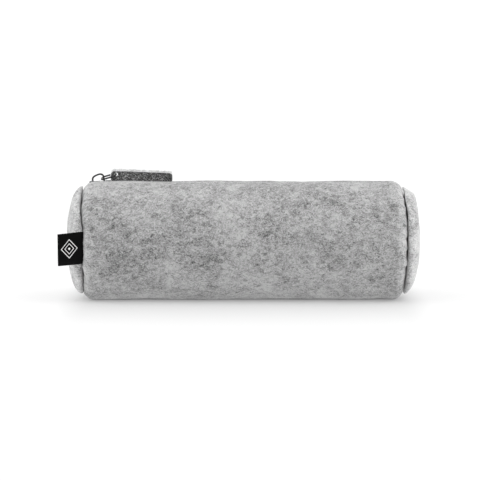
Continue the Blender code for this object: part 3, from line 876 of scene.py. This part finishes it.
def tab_ply(name, outline, middle, seed, mat):
    """A cut piece of thick felt on its edge, softened at its rim and not quite flat.

    middle is how far the ply's middle lies behind the middle of the ring's wire.
    """
    curve = bpy.data.curves.new(name, "CURVE")
    curve.dimensions = "2D"
    curve.fill_mode = "BOTH"
    curve.extrude = TAB_PLY / 2
    hole = [(TAB_HOLE_R * cos(t), TAB_HOLE_R * sin(t)) for t in np.linspace(0, 2 * pi, 25)[:-1]]
    for points in (outline, hole):
        spline = curve.splines.new("POLY")
        spline.points.add(len(points) - 1)
        for point, (x, z) in zip(spline.points, points):
            point.co = (x, z, 0, 1)
        spline.use_cyclic_u = True
    voxel = ("REMESH", {"mode": "VOXEL", "voxel_size": 0.0003})
    even = ("SMOOTH", {"factor": 0.5, "iterations": 4})
    obj = evaluated(name, curve, mat, (voxel, even))
    at = points_of(obj)
    flat = at.copy()
    at[:, 2] += 0.00022 * noise_at(flat, 0.012, seed) + 0.00006 * noise_at(flat, 0.002, seed + 1)
    ragged = [noise_at(flat, 0.0016, seed + 2), noise_at(flat, 0.0016, seed + 3)]
    at[:, :2] += 0.00008 * np.stack(ragged, -1)
    pivot = ring_frame() @ Vector((RING_L, 0, 0))
    stand = Matrix.Translation(pivot) @ Matrix.Rotation(-TAB_LEAN, 4, "X")
    set_points(obj, [tuple(stand @ Vector((x, middle - z, y))) for x, y, z in at])
    store_cloth(obj.data, flat * MM)
    outward(obj)
    return obj


# ---------------------------------------------------------------- floor, light and camera

def floor_acrylic_with_painted_shadow():
    """Pale acrylic that glows faintly, as a light table. Its glow is dimmed beside the pouch as a painted
    shadow.
    """
    g = Graph("pale floor with painted shadow", Specular_IOR_Level=0.2, Emission_Color=(1, 1, 1, 1))
    parts = g.node("SeparateXYZ", {"Vector": g.node("TexCoord").outputs["Object"]}).outputs
    beyond = g.math("SUBTRACT", g.math("ABSOLUTE", parts[0]), PAINTED_SHADOW_HALF)
    past_end = g.math("MULTIPLY", g.math("MAXIMUM", beyond, 0), PAINTED_SHADOW_END_RATE)
    y = g.math("ADD", parts[1], FLOOR_Y)
    away = g.math("SQRT", g.math("ADD", g.math("POWER", past_end, 2), g.math("MULTIPLY", y, y)))
    # Weaker glow near the pouch: a painted shadow on the floor.
    g.feed(g.shader.inputs["Emission Strength"], g.range(away, 0.0, PAINTED_SHADOW_REACH, *FLOOR_GLOW_AND_PAINTED_SHADOW))
    return g.finish(grey(FLOOR_ALBEDO) + (1,), 0.9)


def make_floor():
    """A table that the lights below it shine through, and a strip that keeps them off the rest face."""
    acrylic = floor_acrylic_with_painted_shadow()
    for name, size, at, scale, shades in (
            ("studio_floor", FLOOR_SIZE, (0, FLOOR_Y, -FLOOR_DEPTH), (1, 1, 1), False),
            ("strip_under_the_rest_face", 1, (0, 0, -STRIP_DEPTH), STRIP_SIZE, True)):
        bpy.ops.mesh.primitive_plane_add(size=size, location=at)
        plane = bpy.context.object
        plane.name = name
        plane.scale = scale
        plane.data.materials.append(acrylic)
        plane.visible_shadow = shades


def make_world(key, fill, wall, backdrop, horizon):
    """A broad light overhead, brightest in front, a lit wall behind and white all round the horizon."""
    world = bpy.data.worlds.new("white studio")
    bpy.context.scene.world = world
    world.use_nodes = True
    tree = world.node_tree
    coord = tree.nodes.new("ShaderNodeTexCoord")
    split = tree.nodes.new("ShaderNodeSeparateXYZ")
    tree.links.new(coord.outputs["Generated"], split.inputs[0])

    def step(axis, start, end, before, after):
        node = tree.nodes.new("ShaderNodeMapRange")
        node.interpolation_type = "SMOOTHSTEP"
        levels = {"From Min": start, "From Max": end, "To Min": before, "To Max": after}
        for socket, number in levels.items():
            node.inputs[socket].default_value = number
        tree.links.new(split.outputs[axis], node.inputs["Value"])
        return node.outputs[0]

    def join(how, a, b):
        node = tree.nodes.new("ShaderNodeMath")
        node.operation = how
        tree.links.new(a, node.inputs[0])
        tree.links.new(b, node.inputs[1])
        return node.outputs[0]

    # Each step runs over a direction's Y or Z, which is the sine of its angle above the horizon or back
    above = join("MULTIPLY", step("Z", 0.48, 0.6, 0, 1), step("Y", -0.1, 0.35, key, fill))
    above = join("MULTIPLY", above, step("Z", 0.76, 0.9, 1, 0.4))
    behind = join("MULTIPLY", step("Y", 0, 0.3, 0, 1), step("Z", 0.15, 0.3, backdrop, wall))
    lit = join("MAXIMUM", join("MAXIMUM", above, behind), step("Z", 0.04, 0.12, horizon, 0))
    lit = join("MULTIPLY", lit, step("Z", -0.12, -0.06, 0, 1))
    tree.links.new(lit, tree.nodes["Background"].inputs["Strength"])
    tree.nodes["Background"].inputs["Color"].default_value = (1, 1, 1, 1)


def soft_light(name, at, aim, size, watts):
    """A rectangular area light."""
    data = bpy.data.lights.new(name, "AREA")
    data.shape = "RECTANGLE"
    data.size, data.size_y = size
    data.energy = watts
    light = bpy.data.objects.new(name, data)
    light.location = at
    light.rotation_euler = (Vector(aim) - Vector(at)).to_track_quat("-Z", "Y").to_euler()
    bpy.context.scene.collection.objects.link(light)


def make_camera():
    """Nearly level, straight at the front."""
    data = bpy.data.cameras.new("front")
    data.lens = LENS
    data.clip_end = 50
    camera = bpy.data.objects.new("front", data)
    away = Vector((0, -cos(CAMERA_ELEVATION), sin(CAMERA_ELEVATION)))
    camera.location = CAMERA_TARGET + CAMERA_DISTANCE * away
    camera.rotation_euler = (-away).to_track_quat("-Z", "Y").to_euler()
    bpy.context.scene.collection.objects.link(camera)
    bpy.context.scene.camera = camera


def set_colour():
    """The plain display transform, so that white comes out white."""
    view = bpy.context.scene.view_settings
    view.view_transform = "Standard"
    view.look = "None"
    view.exposure = 0
    view.gamma = 1


# ---------------------------------------------------------------- putting it together

def place(obj, body, slot, *nodes):
    """A piece on that body, in place of those CAD nodes. A blended piece has no body. slot is not used."""
    if body:
        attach(obj, body)
    if nodes:
        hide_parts(*nodes)


def add_halves(felt, woven, nylon, thread):
    """Body felt, tape, coil and stitches of the front and the back."""
    for half, side in (("front", -1), ("back", 1)):
        sheet = felt_half(f"felt_body_{half}", side, felt)
        nodes = [f"body_panel_{half}"] + (["body_panel_base"] if side < 0 else [])
        place(sheet, None, "body_felt", *nodes)
        strip = zip_tape(f"tape_{half}", side, woven)
        place(strip, None, "zip_tape", *[f"zip_tape_{half}{end}" for end in ("", "_left", "_right")])
        coil = coil_row(f"coil_{half}", side, nylon)
        place(coil, None, "zip_coil", *[f"zip_coil_{half}{end}" for end in ("", "_left", "_right")])
        place(stitch_row(f"stitches_{half}", side, thread), None, "body_felt")


def add_ends(felt, satin):
    for end, way in (("left", -1), ("right", 1)):
        panel = end_panel(f"felt_end_{end}", way, felt)
        place(panel, "pouch", "end_felt", f"end_panel_{end}")
    label = folded_label("folded_label", satin)
    place(label, "pouch", "label_satin", "side_label")


def add_puller(metal, charcoal, pale):
    """The bail, the ring and the tab's two plies, the charcoal one in front."""
    place(bail("bail_strip", metal), "zip_slider", "zip_metal", "slider_bail")
    place(wire_ring("ring_wire", metal), "puller_ring", "zip_metal", "puller_ring")
    middle = (TAB_PLY + TAB_PLY_GAP) / 2
    outline = tab_outline(FACE_BACK_L, TAB_TOP - FACE_DROP, FACE_CORNER)
    face = tab_ply("tab_face_felt", outline, -middle, 41, charcoal)
    place(face, "pull_tab", "tab_charcoal_felt", "pull_tab_face")
    outline = tab_outline(TAB_BACK_L, TAB_TOP, TAB_CORNER)
    backing = tab_ply("tab_backing_felt", outline, middle, 51, pale)
    place(backing, "pull_tab", "tab_grey_felt", "pull_tab_backing")


def add_zip_metal(metal):
    """The three stops. The slider's body keeps its CAD mesh and takes the metal."""
    for stop in ("top_stop_front", "top_stop_back", "bottom_stop"):
        place(zip_stop(stop, f"zip_{stop}", metal), "pouch", "zip_metal", f"zip_{stop}")
    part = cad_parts["slider_body"]
    store_cloth(part.data, points_of(part) * MM)
    for slot in part.material_slots:
        slot.material = metal


def make_studio():
    make_floor()
    make_world(key=4.0, fill=1.2, wall=1.0, backdrop=2.6, horizon=1.03)
    soft_light("under", at=(0, -0.1, -0.9), aim=(0, 0, 0.02), size=(1.0, 0.6), watts=6.2)
    soft_light("left", at=(-1.2, -0.1, -0.12), aim=(-0.05, 0, 0.04), size=(0.4, 0.6), watts=5.6)
    soft_light("right", at=(1.2, -0.1, -0.12), aim=(0.05, 0, 0.04), size=(0.4, 0.6), watts=7.5)
    make_camera()
    set_colour()


def main():
    body_felt = melange_felt("melange felt", 0.045, 0.395)
    # The ends are the barrel's felt drawn lighter: painted light for the side light that the turned ends
    # catch.
    end_felt = melange_felt("melange felt of the ends painted lighter", 0.07, 0.48)
    label_middle = LABEL_R * (LABEL_TOP + LABEL_BOTTOM) / 2 * MM + LOZENGE_RISE
    satin = label_satin("black satin", (LOZENGE_OUT, label_middle), LOZENGE_HALF)
    tape, nylon = woven_tape("woven tape"), coil_nylon("nylon coil")
    metal, thread = plated_metal("nickel painted dark"), sewing_thread("grey thread")
    charcoal, pale = charcoal_felt("charcoal felt"), melange_felt("pale tab felt", 0.42, 0.8)

    add_halves(body_felt, tape, nylon, thread)
    add_ends(end_felt, satin)
    add_puller(metal, charcoal, pale)
    add_zip_metal(metal)
    make_studio()


main()
